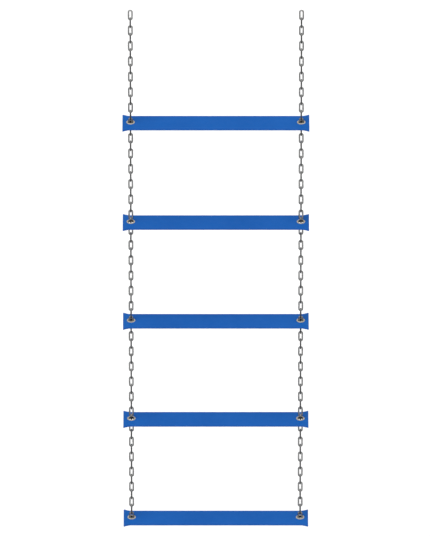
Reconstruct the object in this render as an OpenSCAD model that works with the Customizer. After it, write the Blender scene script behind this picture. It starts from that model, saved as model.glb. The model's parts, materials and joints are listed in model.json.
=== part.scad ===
// Hanging escape ladder: five pressed steel treads carried on two welded long-link chains.
// Frame: +Z up, +X to the right, +Y towards the wall. The origin is the inside of the left top
// link's upper crown, where its hook bears. The right chain hangs at x = chain_spacing.

/* [Ladder] */
// Distance between the two chains
chain_spacing = 440; // [400:5:440]

/* [Treads] */
// Length of a tread, end to end
tread_len = 482; // [480:1:520]
// Depth of a tread, front to back, between its flared ends
tread_depth = 66; // [60:1:76]
// How far each side of a tread would flare out at its very end, if the corners were sharp
flare = 6.8; // [5:0.2:7.4]
// Length over which the ends flare
flare_len = 17; // [13:1:20]
// Height of the pressed tread, top face to rim
tread_height = 5; // [4.5:0.5:8]
// Thickness of the tread's sheet
sheet = 2; // [1.5:0.25:2.5]

/* [Chains] */
// Distance from one link to the next; the treads are a whole number of links apart
pitch = 23.1; // [22.6:0.1:23.6]
// Diameter of the chain's wire
wire = 4; // [3.8:0.1:4.1]
// Outer width of a link
link_w = 12.8; // [12.6:0.1:13]

/* [Fittings] */
// Outer diameter of an eyelet's flange and of the washer under it
eyelet_d = 22; // [20:0.5:24]
// Bore of an eyelet, which a link passes through
eyelet_bore = 13.6; // [13.4:0.1:14]
// Thickness of an eyelet's flange
flange_t = 1.3; // [1:0.1:1.6]
// Thickness of the washer under a tread, which reaches down to the rim
washer_t = 3; // [2:0.25:3]
// Diameter of a support pin
pin_d = 4; // [3.6:0.1:4.2]
// Length of a support pin under its head
pin_len = 26; // [25:0.5:28]
// Diameter of a split pin's wire
split_d = 1.6; // [1.4:0.1:1.6]

/* [Hidden] */
$fn = 48;
TREADS = 5;
LINKS_ABOVE = 14;      // links from a top link to the link that the first tread sits on
LINKS_PER_GAP = 13;    // links from one tread to the next
SLACK = 0.14;          // play between two hooked links
PLAY = 0.05;           // running play round a pin or an eyelet
crown_r = (link_w - wire) / 2;            // centreline radius of a link's round ends
crown_len = pitch + wire + SLACK;         // one crown's wire centre to the other's
leg_len = crown_len - 2 * crown_r;
tube_d = eyelet_bore + 2.4;               // outer diameter of an eyelet's tube
FLARE_POWER = 1.3;     // 1 would be a straight flare, 2 a parabola
CORNER_START = 0.9;    // part of the flare's length at which the round corner begins
TREAD_NUMBERS = [1 : TREADS];
SIDES = ["left", "right"];
middle = chain_spacing / 2;               // x of the ladder's centre line

// Height of a link's centre, counting from the top link, which is link 0
function link_z(i) = wire / 2 - crown_len / 2 - i * pitch;
// The link that tread k sits on
function seat(k) = LINKS_ABOVE + (k - 1) * LINKS_PER_GAP;
// An even link lies flat to the front, an odd one edge-on
function faces_front(i) = i % 2 == 0;
// Under a seat that faces the front, the next link also stays with the tread
function last_fixed(k) = seat(k) + (faces_front(seat(k)) && k < TREADS ? 1 : 0);
// First and last link of the chain section above tread k, and the first one of its lower half
function first_link(k) = k == 1 ? 2 : last_fixed(k - 1) + 1;
function last_link(k) = k == 1 ? seat(1) - 2 : seat(k) - 1;
function fold_link(k) = k == 1 ? 7 : faces_front(seat(k)) ? seat(k) - 6 : seat(k) - 5;
// A support pin rests on the crown of the link below, or in the last link's own crown
function pin_z(k) = link_z(seat(k)) - crown_len / 2 + wire / 2 + PLAY + pin_d / 2
    + (k < TREADS ? wire + SLACK : 0);
function washer_z(k) = pin_z(k) + pin_d / 2 + PLAY;
function sheet_z(k) = washer_z(k) + washer_t;      // underside of the tread's sheet
function tread_top(k) = sheet_z(k) + sheet;

// One welded link, lying in the XZ plane round the origin
module link_shape() {
    for (turn = [0, 180])
        rotate([0, turn, 0]) {
            translate([0, 0, leg_len / 2])
                rotate([90, 0, 0])
                    rotate_extrude(angle = 180)
                        translate([crown_r, 0])
                            circle(d = wire);
            translate([crown_r, 0, 0])
                cylinder(d = wire, h = leg_len, center = true);
        }
}

// Links a to b of the chain that hangs at x
module links(a, b, x) {
    color("gray")
        for (i = [a : b])
            translate([x, 0, link_z(i)])
                rotate([0, 0, faces_front(i) ? 0 : 90])
                    link_shape();
}

// A tread's outline from its back edge round to the middle of one end, drawn in by an inset:
// the flare, then a corner arc that meets both it and the straight end
function end_outline(inset) = let (
        half_len = tread_len / 2 - inset,
        half_depth = tread_depth / 2 - inset,
        length = flare_len - inset,
        rise = flare * pow(length / flare_len, FLARE_POWER),
        lean = atan(FLARE_POWER * rise * pow(CORNER_START, FLARE_POWER - 1) / length),
        corner_r = length * (1 - CORNER_START) / (1 + sin(lean)),
        bend = [for (i = [0 : 5]) let (t = CORNER_START * i / 5)
            [half_len - length * (1 - t), half_depth + rise * pow(t, FLARE_POWER)]],
        corner_y = half_depth + rise * pow(CORNER_START, FLARE_POWER) - corner_r * cos(lean),
        corner = [for (turn = [1 : 5]) let (a = (90 + lean) * (1 - turn / 5))
            [half_len - corner_r * (1 - cos(a)), corner_y + corner_r * sin(a)]])
    concat(bend, corner);

module tread_outline(inset) {
    back = end_outline(inset);
    front = [for (i = [len(back) - 1 : -1 : 0]) [back[i][0], -back[i][1]]];
    right = concat(back, front);
    left = [for (p = right) [-p[0], -p[1]]];
    polygon(concat(right, left));
}

// A pressed tray, open below, with a hole at each end for its eyelet
module tread(k) {
    color("#2062b0")
        translate([middle, 0, tread_top(k)])
            difference() {
                translate([0, 0, -tread_height])
                    linear_extrude(height = tread_height)
                        tread_outline(0);
                translate([0, 0, -tread_height - 1])
                    linear_extrude(height = tread_height - sheet + 1)
                        tread_outline(sheet);
                for (x = [-middle, middle])
                    translate([x, 0, -tread_height])
                        cylinder(d = tube_d + 2 * PLAY, h = 2 * tread_height);
            }
}

// Places its children at both chains, mirrored left to right
module at_chains(z) {
    for (side = [0, 1])
        translate([middle, 0, z])
            mirror([side, 0, 0])
                translate([middle, 0, 0])
                    children();
}

// Flanged tubes that line the tread's holes and reach down through the washers
module eyelets(k) {
    edge = flange_t / 2;
    color("#b6b2a7")
        at_chains(tread_top(k))
            rotate_extrude() {
                translate([eyelet_bore / 2, 0])
                    square([eyelet_d / 2 - edge - eyelet_bore / 2, flange_t]);
                translate([eyelet_d / 2 - edge, edge])
                    circle(r = edge);
                translate([eyelet_bore / 2, -sheet - washer_t])
                    square([(tube_d - eyelet_bore) / 2, sheet + washer_t + edge]);
            }
}

module under_washers(k) {
    color("#a9a9a4")
        at_chains(washer_z(k))
            difference() {
                cylinder(d = eyelet_d, h = washer_t);
                translate([0, 0, -1])
                    cylinder(d = tube_d + 2 * PLAY, h = washer_t + 2);
            }
}

// Turns its children from along X to along Y where the seat link faces the front
module across_seat(k) {
    at_chains(pin_z(k))
        rotate([0, 0, faces_front(seat(k)) ? -90 : 0])
            children();
}

// Headed pins through the seat links; the tread rests on them
module support_pins(k) {
    head_t = 1.6;
    head_d = 1.75 * pin_d;
    color("silver")
        across_seat(k)
            difference() {
                rotate([0, 90, 0]) {
                    translate([0, 0, -pin_len / 2])
                        cylinder(d = pin_d, h = pin_len);
                    translate([0, 0, pin_len / 2])
                        cylinder(d = head_d, h = head_t);
                }
                translate([split_x(), 0, 0])
                    rotate([90, 0, 0])
                        cylinder(d = split_d + 2 * PLAY, h = 2 * pin_d, center = true);
            }
}

function split_x() = 1.5 * split_d - pin_len / 2;

// Split pins through the far ends of the support pins
module split_pins(k) {
    eye_r = 0.95 * split_d;
    reach = pin_d / 2 + 0.6;
    prong_len = 4;
    color("dimgray")
        across_seat(k)
            translate([split_x(), 0, 0]) {
                rotate([90, 0, 0])
                    cylinder(d = split_d, h = 2 * reach, center = true);
                translate([0, -reach - eye_r, 0])
                    rotate_extrude()
                        translate([eye_r, 0])
                            circle(d = split_d);
                for (lean = [-35, 35])
                    translate([0, reach, 0])
                        rotate([-90, 0, lean])
                            cylinder(d = 0.6 * split_d, h = prong_len);
            }
}

for (s = [0, 1]) {
    name = SIDES[s];
    x = s * chain_spacing;
    links(0, 0, x);
    links(1, 1, x);
    links(seat(1) - 1, seat(1) - 1, x);
    for (k = TREAD_NUMBERS) {
        links(first_link(k), fold_link(k) - 1, x);
        links(fold_link(k), last_link(k), x);
    }
}
for (k = TREAD_NUMBERS) {
    tread(k);
    eyelets(k);
    under_washers(k);
    for (x = [0, chain_spacing]) links(seat(k), last_fixed(k), x);
    support_pins(k);
    split_pins(k);
}
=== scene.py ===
import json
import math
import random

import bmesh
import bpy
from mathutils import Matrix, Vector


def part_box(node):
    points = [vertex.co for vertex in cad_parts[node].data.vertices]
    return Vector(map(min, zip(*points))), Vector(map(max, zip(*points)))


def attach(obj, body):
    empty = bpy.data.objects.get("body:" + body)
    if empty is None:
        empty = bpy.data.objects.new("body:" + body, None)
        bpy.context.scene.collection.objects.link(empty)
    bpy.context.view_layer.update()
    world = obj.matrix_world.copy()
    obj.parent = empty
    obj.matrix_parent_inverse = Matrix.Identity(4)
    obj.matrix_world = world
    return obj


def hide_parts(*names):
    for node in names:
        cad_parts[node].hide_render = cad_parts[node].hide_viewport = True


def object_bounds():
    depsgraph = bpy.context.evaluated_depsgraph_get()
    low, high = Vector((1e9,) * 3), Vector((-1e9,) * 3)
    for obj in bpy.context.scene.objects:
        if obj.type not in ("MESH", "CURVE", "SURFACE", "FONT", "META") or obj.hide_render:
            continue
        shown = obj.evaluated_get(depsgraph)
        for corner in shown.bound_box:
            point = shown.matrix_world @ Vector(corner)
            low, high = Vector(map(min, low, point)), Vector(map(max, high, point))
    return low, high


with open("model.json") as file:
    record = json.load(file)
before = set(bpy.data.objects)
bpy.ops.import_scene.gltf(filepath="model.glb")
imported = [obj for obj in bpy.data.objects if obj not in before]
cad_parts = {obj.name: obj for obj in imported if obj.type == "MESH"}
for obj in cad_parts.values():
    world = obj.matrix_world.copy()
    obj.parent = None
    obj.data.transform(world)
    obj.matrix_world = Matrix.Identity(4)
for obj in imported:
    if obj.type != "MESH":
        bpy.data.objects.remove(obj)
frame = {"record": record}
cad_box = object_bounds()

MM = 0.001
TREADS = 5
SIDES = ("left", "right")

# ---------------------------------------------------------------- sizes read from the frame


def size_of(node):
    lo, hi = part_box(node)
    return hi - lo


def middle_of(node):
    lo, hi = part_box(node)
    return (lo + hi) / 2


LINK = size_of("top_link_left")
LINK_W = LINK.x
LINK_LEN = LINK.z
LADDER_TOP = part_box("top_link_left")[1].z
WIRE = LINK.y
PITCH = LADDER_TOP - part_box("swing_link_left")[1].z
CROWN_R = (LINK_W - WIRE) / 2
CHAIN_X = {side: middle_of(f"top_link_{side}").x for side in SIDES}
MIDDLE_X = sum(CHAIN_X.values()) / 2

# ---------------------------------------------------------------- mesh helpers


def new_piece(name, bm, material, node):
    """Turns a bmesh into a smooth-shaded piece that stands for a CAD node and rides on its body."""
    bmesh.ops.recalc_face_normals(bm, faces=bm.faces)
    mesh = bpy.data.meshes.new(name)
    bm.to_mesh(mesh)
    bm.free()
    obj = bpy.data.objects.new(name, mesh)
    bpy.context.scene.collection.objects.link(obj)
    obj.data.materials.append(material)
    body = next(b for b, nodes in frame["record"]["behaviour"]["bodies"].items() if node in nodes)
    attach(obj, body)
    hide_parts(node)
    return obj


def bridge(bm, rings, loop_back=False):
    """Quads between neighbouring rings of vertices, all of the same length."""
    pairs = list(zip(rings, rings[1:]))
    if loop_back:
        pairs.append((rings[-1], rings[0]))
    for a, b in pairs:
        for i in range(len(a)):
            j = (i + 1) % len(a)
            face = bm.faces.new((a[i], a[j], b[j], b[i]))
            face.smooth = True


def lathe(bm, profile, at, axis=(0, 0, 1), steps=64):
    """Turns a closed outline of (radius, height) points round an axis through a place."""
    turn = Vector((0, 0, 1)).rotation_difference(Vector(axis)).to_matrix()
    rings = []
    for i in range(steps):
        angle = 2 * math.pi * i / steps
        ring = []
        for radius, height in profile:
            point = Vector((radius * math.cos(angle), radius * math.sin(angle), height))
            ring.append(bm.verts.new(Vector(at) + turn @ point))
        rings.append(ring)
    bridge(bm, rings, loop_back=True)
    return rings


def arc(cx, cy, radius, start, end, steps=6):
    """Points on an arc, angles in degrees."""
    points = []
    for i in range(steps + 1):
        a = math.radians(start + (end - start) * i / steps)
        points.append((cx + radius * math.cos(a), cy + radius * math.sin(a)))
    return points


def sweep(bm, path, section, normal):
    """An open wire with closed ends: a section swept along points, kept square to a normal."""
    rings = []
    for i, point in enumerate(path):
        before = path[max(i - 1, 0)]
        after = path[min(i + 1, len(path) - 1)]
        along = (after - before).normalized()
        side = along.cross(normal).normalized()
        rings.append([bm.verts.new(point + side * x + normal * y) for x, y in section])
    bridge(bm, rings)
    for ring in (rings[0], rings[-1]):
        bm.faces.new(ring)


# ---------------------------------------------------------------- materials


class Shader:
    """A short way to write a node material: each call adds a node and links its inputs."""

    def __init__(self, name):
        self.material = bpy.data.materials.new(name)
        self.material.use_nodes = True
        self.tree = self.material.node_tree
        self.surface = self.tree.nodes["Principled BSDF"]
        self.place = self.node("ShaderNodeTexCoord").outputs["Object"]

    def node(self, kind, **settings):
        made = self.tree.nodes.new(kind)
        for key, value in settings.items():
            setattr(made, key, value)
        return made

    def feed(self, socket, value):
        if isinstance(value, bpy.types.NodeSocket):
            self.tree.links.new(value, socket)
        else:
            socket.default_value = value

    def noise(self, scale, detail=2.0, roughness=0.5, stretch=(1, 1, 1)):
        mapping = self.node("ShaderNodeMapping")
        self.feed(mapping.inputs["Vector"], self.place)
        mapping.inputs["Scale"].default_value = stretch
        texture = self.node("ShaderNodeTexNoise")
        self.feed(texture.inputs["Vector"], mapping.outputs["Vector"])
        texture.inputs["Scale"].default_value = scale
        texture.inputs["Detail"].default_value = detail
        texture.inputs["Roughness"].default_value = roughness
        return texture.outputs["Fac"]

    def remap(self, value, low, high, to_low=0.0, to_high=1.0):
        made = self.node("ShaderNodeMapRange")
        made.clamp = True
        self.feed(made.inputs["Value"], value)
        made.inputs["From Min"].default_value = low
        made.inputs["From Max"].default_value = high
        made.inputs["To Min"].default_value = to_low
        made.inputs["To Max"].default_value = to_high
        return made.outputs["Result"]

    def math(self, operation, a, b):
        made = self.node("ShaderNodeMath", operation=operation)
        self.feed(made.inputs[0], a)
        self.feed(made.inputs[1], b)
        return made.outputs["Value"]

    def mix(self, factor, a, b):
        made = self.node("ShaderNodeMix", data_type="RGBA")
        self.feed(made.inputs["Factor"], factor)
        self.feed(made.inputs["A"], a)
        self.feed(made.inputs["B"], b)
        return made.outputs["Result"]

    def attribute(self, name):
        return self.node("ShaderNodeAttribute", attribute_name=name).outputs["Fac"]

    def bump(self, heights):
        """Chains bump nodes; heights is a list of (height, strength, distance in metres)."""
        normal = None
        for height, strength, distance in heights:
            made = self.node("ShaderNodeBump")
            made.inputs["Strength"].default_value = strength
            made.inputs["Distance"].default_value = distance
            self.feed(made.inputs["Height"], height)
            if normal is not None:
                self.feed(made.inputs["Normal"], normal)
            normal = made.outputs["Normal"]
        self.feed(self.surface.inputs["Normal"], normal)


def powder_coat():
    """Blue powder coat: a fine orange peel over faint waves, darker on the bent edges, with dull
    rub marks round the eyelets."""
    s = Shader("blue_powder_coat")
    clouds = s.noise(9, detail=4)
    blue = s.mix(s.remap(clouds, 0.35, 0.65), (0.0040, 0.089, 0.362, 1), (0.0055, 0.099, 0.390, 1))
    blue = s.mix(s.math("MULTIPLY", s.attribute("edge"), 0.6), blue, (0.002, 0.055, 0.255, 1))
    scuffs = s.remap(s.noise(420, detail=5, roughness=0.7, stretch=(1, 0.35, 1)), 0.55, 0.72)
    rubbed = s.math("MULTIPLY", scuffs, s.attribute("rub"))
    blue = s.mix(s.math("MULTIPLY", rubbed, 0.4), blue, (0.05, 0.13, 0.33, 1))
    s.feed(s.surface.inputs["Base Color"], blue)
    grain = s.remap(s.noise(60, detail=3), 0.3, 0.7, 0.42, 0.54)
    s.feed(s.surface.inputs["Roughness"], s.math("ADD", grain, s.math("MULTIPLY", rubbed, 0.2)))
    s.surface.inputs["Specular IOR Level"].default_value = 0.14
    s.surface.inputs["Metallic"].default_value = 0.0
    s.bump([(s.noise(650, detail=2), 0.2, 0.00012), (s.noise(7, detail=1), 0.15, 0.0006)])
    return s.material


def plated_steel(name, colour, dark, metallic, rough):
    """Zinc-plated steel: a fine crystalline mottle and dull soiling, with painted shade added:
    darkest where the mesh's attribute of painted shade and soiling is high."""
    s = Shader(name)
    mottle = s.remap(s.noise(900, detail=3, roughness=0.6), 0.35, 0.65)
    base = s.mix(mottle, [c * 0.86 for c in colour] + [1], list(colour) + [1])
    grime = s.math("MULTIPLY", s.remap(s.noise(130, detail=5, roughness=0.65), 0.46, 0.68), 0.4)
    # The mesh attribute adds painted shade (eyelet bores, outward sides of chain wire, link crowns)
    # to the real grime.
    shade_and_soil = s.math("MAXIMUM", grime, s.attribute("shade_and_soil"))
    s.feed(s.surface.inputs["Base Color"], s.mix(shade_and_soil, base, list(dark) + [1]))
    s.surface.inputs["Metallic"].default_value = metallic
    roughness = s.remap(s.noise(240, detail=4), 0.3, 0.7, rough - 0.06, rough + 0.08)
    s.feed(s.surface.inputs["Roughness"], roughness)
    s.bump([(mottle, 0.12, 0.00006), (s.noise(170, detail=4), 0.2, 0.00012)])
    return s.material


BLUE = powder_coat()
# The chain's dark colour is mostly painted shade on the wire's outward sides and crowns, with some
# grime and the weld.
CHAIN = plated_steel("dull_zinc_chain", (0.31, 0.31, 0.305), (0.035, 0.035, 0.035), 0.5, 0.42)
# Its dark colour paints the shade inside the bores, and dull soiling elsewhere.
EYELET = plated_steel("warm_grey_eyelet", (0.52, 0.48, 0.41), (0.02, 0.02, 0.018), 0.25, 0.4)
ZINC = plated_steel("zinc_washer", (0.45, 0.45, 0.44), (0.16, 0.16, 0.155), 0.7, 0.36)
PIN = plated_steel("zinc_pin", (0.50, 0.50, 0.49), (0.18, 0.18, 0.175), 0.8, 0.32)
SPLIT = plated_steel("split_pin_wire", (0.28, 0.275, 0.27), (0.10, 0.10, 0.095), 0.85, 0.36)

# ---------------------------------------------------------------- chains

LEG_STEPS = 16
CROWN_STEPS = 18
WIRE_STEPS = 16
WELD_REACH = 1.9 * MM
WELD_SWELL = 0.07
CROWN_SOIL_AND_SHADE = 0.25         # how far a link's round ends darken, where links bear on each other: grime and painted contact shade
WELD_SOIL = 0.35
FLANK_SHADE = 1.0          # painted shade: how far the wire's outward side darkens, so that edge-on links look dark
FLANK_EDGE = 0.6          # cosine of the angle from the outward side at which that is complete


def link_rings():
    """Centreline of a link in the XZ plane: (place, outward direction, crown 0 to 1, swell)."""
    leg = LINK_LEN - WIRE - 2 * CROWN_R
    rings = []
    for turn in (1, -1):
        for i in range(CROWN_STEPS):
            a = math.pi * i / CROWN_STEPS
            out = Vector((math.cos(a), 0, math.sin(a))) * turn
            place = out * CROWN_R + Vector((0, 0, leg / 2)) * turn
            rings.append((place, out, math.sin(a) ** 1.5, 0.0))
        for i in range(LEG_STEPS):
            z = leg / 2 - leg * i / LEG_STEPS
            out = Vector((-1, 0, 0)) * turn
            bead = max(0.0, 1 - (z / WELD_REACH) ** 2) if turn > 0 else 0.0
            rings.append((out * CROWN_R + Vector((0, 0, z * turn)), out, 0.0, bead))
    return rings


LINK_RINGS = link_rings()


def shade_and_soil_at(crown, bead, outward):
    """Darkening at a point of a link: painted shade on the wire's outward side, grime with painted
    contact shade at the crowns, and a darker weld; outward is the cosine of its angle from the
    outward side.
    """
    t = min(1.0, max(0.0, outward / FLANK_EDGE))
    # Painted shade on the wire's outward side, so that edge-on links look dark.
    flank_shade = FLANK_SHADE * t * t * (3 - 2 * t) * (1 - crown)
    return max(flank_shade, CROWN_SOIL_AND_SHADE * crown + WELD_SOIL * bead)


def add_link(bm, shade_and_soil, x, index, rng):
    """One welded link of a chain. Even links face the front and odd ones are edge-on."""
    centre = Vector((x, 0, LADDER_TOP - LINK_LEN / 2 - index * PITCH))
    half_turns = rng.choice((0, 1))
    turn = Matrix.Rotation(math.pi * (index % 2 / 2 + half_turns), 3, "Z")
    lopsided = rng.uniform(-0.3, 0.3)
    rings = []
    for place, out, crown, bead in LINK_RINGS:
        ring = []
        for i in range(WIRE_STEPS):
            a = 2 * math.pi * i / WIRE_STEPS
            swell = 1 + WELD_SWELL * bead * (1 + lopsided * math.cos(a))
            offset = (out * math.cos(a) + Vector((0, 1, 0)) * math.sin(a)) * (WIRE / 2 * swell)
            vert = bm.verts.new(centre + turn @ (place + offset))
            vert[shade_and_soil] = shade_and_soil_at(crown, bead, math.cos(a))
            ring.append(vert)
        rings.append(ring)
    bridge(bm, rings, loop_back=True)


def links_of(node):
    """Numbers of the links that a chain node holds, counted from the top link."""
    lo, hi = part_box(node)
    first = round((LADDER_TOP - hi.z) / PITCH)
    count = round((hi.z - lo.z - LINK_LEN) / PITCH) + 1
    return range(first, first + count)


def chain_piece(node):
    bm = bmesh.new()
    shade_and_soil = bm.verts.layers.float.new("shade_and_soil")
    rng = random.Random(node)
    lo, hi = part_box(node)
    for x in CHAIN_X.values():
        if lo.x < x < hi.x:
            for index in links_of(node):
                add_link(bm, shade_and_soil, x, index, rng)
    return new_piece(f"{node}_welded", bm, CHAIN, node)


for row in frame["record"]["subparts"]:
    if row["material_slot"] == "chain_steel":
        chain_piece(row["node"])

# ---------------------------------------------------------------- treads

FLARE = 6.8 * MM          # how far the ends would flare if their corners were sharp
FLARE_LEN = 17 * MM
FLARE_POWER = 1.3         # 1 would be a straight flare, 2 a parabola
CORNER_START = 0.9        # part of the flare at which the corner arc begins
SHEET = 2 * MM
BEND_R = 1.3 * MM         # outside radius of the rim's bend
HOLE_R = 8.05 * MM
RUB_REACH = 60 * MM       # how far from an eyelet the paint is scuffed


def flare(inset):
    """Length, rise, lean and corner radius of the flare of an outline drawn in by an inset."""
    length = FLARE_LEN - inset
    rise = FLARE * (length / FLARE_LEN) ** FLARE_POWER
    lean = math.atan(FLARE_POWER * rise * CORNER_START ** (FLARE_POWER - 1) / length)
    corner_r = length * (1 - CORNER_START) / (1 + math.sin(lean))
    return length, rise, lean, corner_r


def tip_rise():
    """How far the tips of a tread's ends stand out past its straight sides."""
    length, rise, lean, corner_r = flare(0.0)
    return rise * CORNER_START ** FLARE_POWER + corner_r * (1 - math.cos(lean))


def end_outline(half_len, half_depth, inset):
    """Back edge of a tread from its middle, along the flare and round the corner to the end."""
    length, rise, lean, corner_r = flare(inset)
    edge = half_depth - inset
    end = half_len - inset
    points = [(half_len * (i / 12), edge) for i in range(12)]
    points = [p for p in points if p[0] < half_len - FLARE_LEN - 4 * MM]
    for i in range(13):
        t = CORNER_START * i / 12
        points.append((end - length * (1 - t), edge + rise * t ** FLARE_POWER))
    corner_y = edge + rise * CORNER_START ** FLARE_POWER - corner_r * math.cos(lean)
    for i in range(1, 9):
        a = (math.pi / 2 + lean) * (1 - i / 8)
        points.append((end - corner_r * (1 - math.cos(a)), corner_y + corner_r * math.sin(a)))
    return points


def tread_outline(half_len, half_depth, inset):
    back = end_outline(half_len, half_depth, inset)
    right = back + [(x, -y) for x, y in reversed(back)]
    left = [(-x, -y) for x, y in right[1:-1]]
    return right + left


def tread_profile(height):
    """(inset, depth below the top) from the top face over the rim and back up inside."""
    lip = SHEET / 2
    profile = [(4.6 * MM, 0.0), (3.4 * MM, 0.0), (2.2 * MM, 0.0)]
    profile += [(BEND_R - x, BEND_R - y) for x, y in arc(0, 0, BEND_R, 90, 0, 7)]
    profile += [(0.0, height * 0.6)]
    profile += [(lip - x, height - lip + y) for x, y in arc(0, 0, lip, 0, 180, 8)]
    inner_r = 0.9 * MM
    profile += [(SHEET, height * 0.75)]
    profile += [(SHEET + inner_r - x, SHEET + inner_r - y) for x, y in arc(0, 0, inner_r, 0, 90, 4)]
    profile += [(4.6 * MM, SHEET)]
    return profile


def drill(obj, places, radius, depth):
    """Cuts round holes through a piece, each along the +Z of its own frame, and applies the cut."""
    cutter_bm = bmesh.new()
    for place in places:
        bmesh.ops.create_cone(cutter_bm, cap_ends=True, segments=64, radius1=radius, radius2=radius,
                              depth=depth, matrix=place)
    mesh = bpy.data.meshes.new("cutter")
    cutter_bm.to_mesh(mesh)
    cutter_bm.free()
    cutter = bpy.data.objects.new("cutter", mesh)
    bpy.context.scene.collection.objects.link(cutter)
    cut = obj.modifiers.new("drill", "BOOLEAN")
    cut.operation = "DIFFERENCE"
    cut.solver = "EXACT"
    cut.object = cutter
    apply_modifiers(obj)
    bpy.data.objects.remove(cutter)
    bpy.data.meshes.remove(mesh)


def apply_modifiers(obj):
    evaluated = obj.evaluated_get(bpy.context.evaluated_depsgraph_get())
    baked = bpy.data.meshes.new_from_object(evaluated)
    old = obj.data
    obj.modifiers.clear()
    obj.data = baked
    name = old.name
    bpy.data.meshes.remove(old)
    baked.name = name


def tread_piece(k):
    node = f"tread_{k}"
    lo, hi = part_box(node)
    half_len = (hi.x - lo.x) / 2
    half_depth = (hi.y - lo.y) / 2 - tip_rise()
    height = hi.z - lo.z
    bm = bmesh.new()
    edge_layer = bm.verts.layers.float.new("edge")
    rub_layer = bm.verts.layers.float.new("rub")
    rings = []
    for inset, depth in tread_profile(height):
        ring = []
        for x, y in tread_outline(half_len, half_depth, inset):
            vert = bm.verts.new((MIDDLE_X + x, y, hi.z - depth))
            vert[edge_layer] = 1.0 if 0 < depth < BEND_R * 1.01 or depth > height * 0.7 else 0.0
            off = min((vert.co - Vector((at, 0, vert.co.z))).length for at in CHAIN_X.values())
            vert[rub_layer] = max(0.0, 1 - off / RUB_REACH)
            ring.append(vert)
        rings.append(ring)
    bridge(bm, rings)
    for ring in (rings[0], rings[-1]):
        bm.faces.new(ring)
    obj = new_piece(f"{node}_pressing", bm, BLUE, node)
    places = [Matrix.Translation((x, 0, hi.z)) for x in CHAIN_X.values()]
    drill(obj, places, HOLE_R, 4 * height)
    return obj


for k in range(1, TREADS + 1):
    tread_piece(k)

# ---------------------------------------------------------------- eyelets, washers and pins


BORE_R = 6.8 * MM         # inside of an eyelet
TUBE_R = 8.0 * MM         # outside of its tube
FLANGE = 1.3 * MM
PIN_R = 2 * MM
PIN_LEN = 26 * MM
HEAD_T = 1.6 * MM
SPLIT_D = 1.6 * MM
SPLIT_AT = 1.5 * SPLIT_D - PIN_LEN / 2      # place of the split pin along its support pin


def reach_of(node):
    """Outer radius of a round fitting that sits at both chains."""
    return (size_of(node).x - (CHAIN_X["right"] - CHAIN_X["left"])) / 2


def round_fittings(node, outline, material, suffix, shaded_points=()):
    """A lathe-turned fitting at both chains; its last argument lists the outline points that are
    painted dark as shade.
    """
    bm = bmesh.new()
    shade_and_soil = bm.verts.layers.float.new("shade_and_soil")
    for x in CHAIN_X.values():
        rings = lathe(bm, outline, (x, 0, 0))
        for ring in rings:
            for i in shaded_points:
                ring[i][shade_and_soil] = 1.0
    return new_piece(f"{node}_{suffix}", bm, material, node)


def eyelets(k):
    """A domed flange that rolls over into the tube, whose foot is turned out a little."""
    node = f"eyelets_{k}"
    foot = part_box(node)[0].z
    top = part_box(node)[1].z
    face = top - FLANGE
    outer = reach_of(node)
    rim = FLANGE * 0.4
    roll = 1.1 * MM
    ease = 0.3 * MM
    outline = [(BORE_R, foot + ease), (BORE_R + ease, foot), (TUBE_R, foot), (TUBE_R, face)]
    outline += [(outer - rim, face)]
    outline += arc(outer - rim, face + rim, rim, -70, 70)
    outline += [(outer - 1.7 * MM, top - 0.15 * MM), (outer - 2.8 * MM, top)]
    bore_from = len(outline)
    outline += arc(BORE_R + roll, top - roll, roll, 90, 180)
    outline += [(BORE_R, face - 1.2 * MM)]
    # The inside of the bore and its foot are painted near black as shade.
    dark = list(range(bore_from + 4, len(outline))) + [0]
    return round_fittings(node, outline, EYELET, "spun", dark)


def under_washers(k):
    node = f"under_washers_{k}"
    lo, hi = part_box(node)
    outer = reach_of(node)
    ease = 0.35 * MM
    outline = [(HOLE_R, lo.z + ease), (HOLE_R + ease, lo.z), (outer - ease, lo.z),
               (outer, lo.z + ease), (outer, hi.z - ease), (outer - ease, hi.z),
               (HOLE_R + ease, hi.z), (HOLE_R, hi.z - ease)]
    return round_fittings(node, outline, ZINC, "stamped")


def seat_frames(k):
    """Where the support pins of a tread lie: +X runs along a pin to its head. The pin crosses the
    seat link, so it runs to the front where that link faces the front."""
    node = f"support_pins_{k}"
    height = middle_of(node).z
    front = size_of(node).y > PIN_LEN
    turn = Matrix.Rotation(-math.pi / 2 if front else 0, 4, "Z")
    right = Matrix.Translation((CHAIN_X["right"], 0, height))
    left = Matrix.Translation((CHAIN_X["left"], 0, height))
    return [right @ turn, left @ Matrix.Diagonal((-1, 1, 1, 1)) @ turn]


def support_pins(k):
    """A pin with a domed head and a chamfered far end, drilled for its split pin."""
    node = f"support_pins_{k}"
    head_r = size_of(node).z / 2
    chamfer = 0.6 * MM
    fillet = 0.3 * MM
    end = PIN_LEN / 2
    outline = [(0, -end), (PIN_R - chamfer, -end), (PIN_R, -end + chamfer)]
    outline += [(PIN_R, end - fillet), (PIN_R + fillet, end), (head_r - fillet, end)]
    outline += [(head_r, end + fillet), (head_r, end + HEAD_T * 0.45)]
    outline += [(head_r * math.cos(a), end + HEAD_T * (0.45 + 0.55 * math.sin(a)))
                for a in (0.3, 0.6, 0.9, 1.2)]
    outline += [(0, end + HEAD_T)]
    bm = bmesh.new()
    bm.verts.layers.float.new("shade_and_soil")
    seats = seat_frames(k)
    for seat in seats:
        rings = lathe(bm, outline, (0, 0, 0), axis=(1, 0, 0), steps=40)
        for ring in rings:
            for vert in ring:
                vert.co = seat @ vert.co
    bmesh.ops.remove_doubles(bm, verts=bm.verts, dist=1e-6)
    obj = new_piece(f"{node}_turned", bm, PIN, node)
    holes = [seat @ Matrix.Translation((SPLIT_AT, 0, 0)) @ Matrix.Rotation(math.pi / 2, 4, "X")
             for seat in seats]
    drill(obj, holes, SPLIT_D / 2 + 0.05 * MM, 4 * PIN_R)
    return obj


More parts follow.
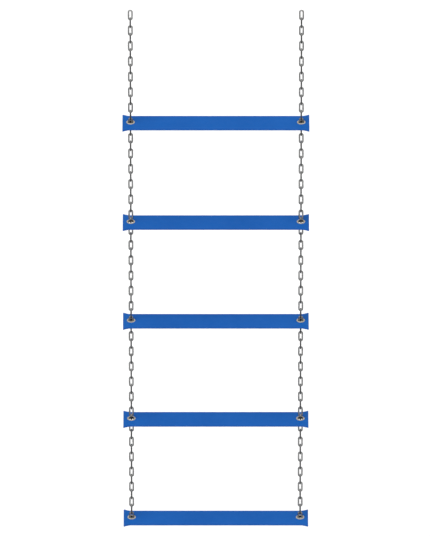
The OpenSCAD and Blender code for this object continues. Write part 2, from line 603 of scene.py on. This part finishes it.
def split_pins(k):
    """Half-round wire folded into an eye, with its two legs through the pin and splayed."""
    node = f"split_pins_{k}"
    leg_x = SPLIT_D / 4
    leg_y = PIN_R + 0.6 * MM
    eye_r = 0.9 * SPLIT_D
    eye_y = -leg_y - eye_r
    lean = math.radians(35)
    path = [Vector((leg_x + along * math.sin(lean), leg_y + along * math.cos(lean), 0))
            for along in (3.9 * MM, 2.4 * MM, 1.1 * MM)]
    path += [Vector((leg_x, y, 0)) for y in (leg_y - 0.2 * MM, 0, -leg_y + 0.3 * MM)]
    start = math.asin(leg_x / eye_r) + 0.25
    for i in range(19):
        a = math.pi / 2 - start - (2 * math.pi - 2 * start) * i / 18
        path.append(Vector((eye_r * math.cos(a), eye_y + eye_r * math.sin(a), 0)))
    path += [Vector((-leg_x, y, 0)) for y in (-leg_y + 0.3 * MM, 0, leg_y - 0.2 * MM)]
    path += [Vector((-leg_x - along * math.sin(lean), leg_y + along * math.cos(lean), 0))
             for along in (1.1 * MM, 2.2 * MM, 3.1 * MM)]
    flat = -SPLIT_D / 4 + 0.03 * MM
    section = [(flat + SPLIT_D / 2 * math.sin(a), SPLIT_D / 2 * math.cos(a))
               for a in [math.pi * i / 10 for i in range(11)]]
    bm = bmesh.new()
    bm.verts.layers.float.new("shade_and_soil")
    for seat in seat_frames(k):
        known = len(bm.verts)
        sweep(bm, path, section, Vector((0, 0, 1)))
        bm.verts.ensure_lookup_table()
        for vert in bm.verts[known:]:
            vert.co = seat @ Matrix.Translation((SPLIT_AT, 0, 0)) @ vert.co
    return new_piece(f"{node}_folded", bm, SPLIT, node)


for k in range(1, TREADS + 1):
    eyelets(k)
    under_washers(k)
    support_pins(k)
    split_pins(k)

# ---------------------------------------------------------------- floor, light and camera


def make_floor():
    bm = bmesh.new()
    bmesh.ops.create_grid(bm, x_segments=1, y_segments=1, size=60)
    mesh = bpy.data.meshes.new("floor")
    bm.to_mesh(mesh)
    bm.free()
    floor = bpy.data.objects.new("floor", mesh)
    bpy.context.scene.collection.objects.link(floor)
    floor.location = (MIDDLE_X, 0, cad_box[0].z - 0.6)
    s = Shader("pale_floor")
    tone = s.remap(s.noise(1.5, detail=2), 0.3, 0.7)
    s.feed(s.surface.inputs["Base Color"], s.mix(tone, (0.90, 0.90, 0.90, 1), (0.92, 0.92, 0.92, 1)))
    s.surface.inputs["Roughness"].default_value = 0.9
    s.surface.inputs["Specular IOR Level"].default_value = 0.0
    floor.data.materials.append(s.material)


def soft_sun(name, power, spread, azimuth, elevation):
    """A very wide sun: soft, even light with no falloff. Azimuth 0 is behind the camera."""
    light = bpy.data.lights.new(name, "SUN")
    light.energy = power
    light.angle = math.radians(spread)
    lamp = bpy.data.objects.new(name, light)
    bpy.context.scene.collection.objects.link(lamp)
    a = math.radians(azimuth)
    e = math.radians(elevation)
    towards = Vector((math.sin(a) * math.cos(e), -math.cos(a) * math.cos(e), math.sin(e)))
    lamp.rotation_mode = "QUATERNION"
    lamp.rotation_quaternion = (-towards).to_track_quat("-Z", "Y")
    lamp.location = Vector((MIDDLE_X, 0, 0)) + towards * 4


def make_sky():
    """A soft, even sky that turns white just above the horizon, where the floor ends."""
    world = bpy.data.worlds.new("studio")
    bpy.context.scene.world = world
    world.use_nodes = True
    nodes = world.node_tree.nodes
    links = world.node_tree.links
    background = nodes["Background"]
    background.inputs["Color"].default_value = (1, 1, 1, 1)
    direction = nodes.new("ShaderNodeTexCoord").outputs["Generated"]
    split = nodes.new("ShaderNodeSeparateXYZ")
    links.new(direction, split.inputs[0])
    fade = nodes.new("ShaderNodeMapRange")
    fade.inputs["From Min"].default_value = 0.03
    fade.inputs["From Max"].default_value = 0.12
    fade.inputs["To Min"].default_value = 1.0
    fade.inputs["To Max"].default_value = 0.4
    links.new(split.outputs["Z"], fade.inputs["Value"])
    links.new(fade.outputs["Result"], background.inputs["Strength"])


def make_light():
    make_sky()
    soft_sun("key", 2.3, 50, -35, 58)
    soft_sun("fill", 0.9, 80, 60, 50)


def make_camera():
    """A very long lens, because the ladder shows almost no perspective."""
    elevation = math.radians(31.6)
    view_height = 1.391
    below_centre = 0.1583     # how far the third tread is below the place looked at
    right_of_centre = 0.0023
    camera = bpy.data.cameras.new("camera")
    camera.sensor_width = 36
    camera.lens = 1200
    half = math.atan(camera.sensor_width / 2 / camera.lens)
    distance = view_height / 2 / math.tan(half)
    look_at = Vector((MIDDLE_X - right_of_centre, 0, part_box("tread_3")[1].z + below_centre))
    back = Vector((0, -math.cos(elevation), math.sin(elevation)))
    obj = bpy.data.objects.new("camera", camera)
    bpy.context.scene.collection.objects.link(obj)
    obj.location = look_at + back * distance
    obj.rotation_mode = "QUATERNION"
    obj.rotation_quaternion = (-back).to_track_quat("-Z", "Y")
    camera.clip_start = 1
    camera.clip_end = 200
    bpy.context.scene.camera = obj


make_floor()
make_light()
make_camera()
bpy.context.scene.view_settings.view_transform = "Standard"
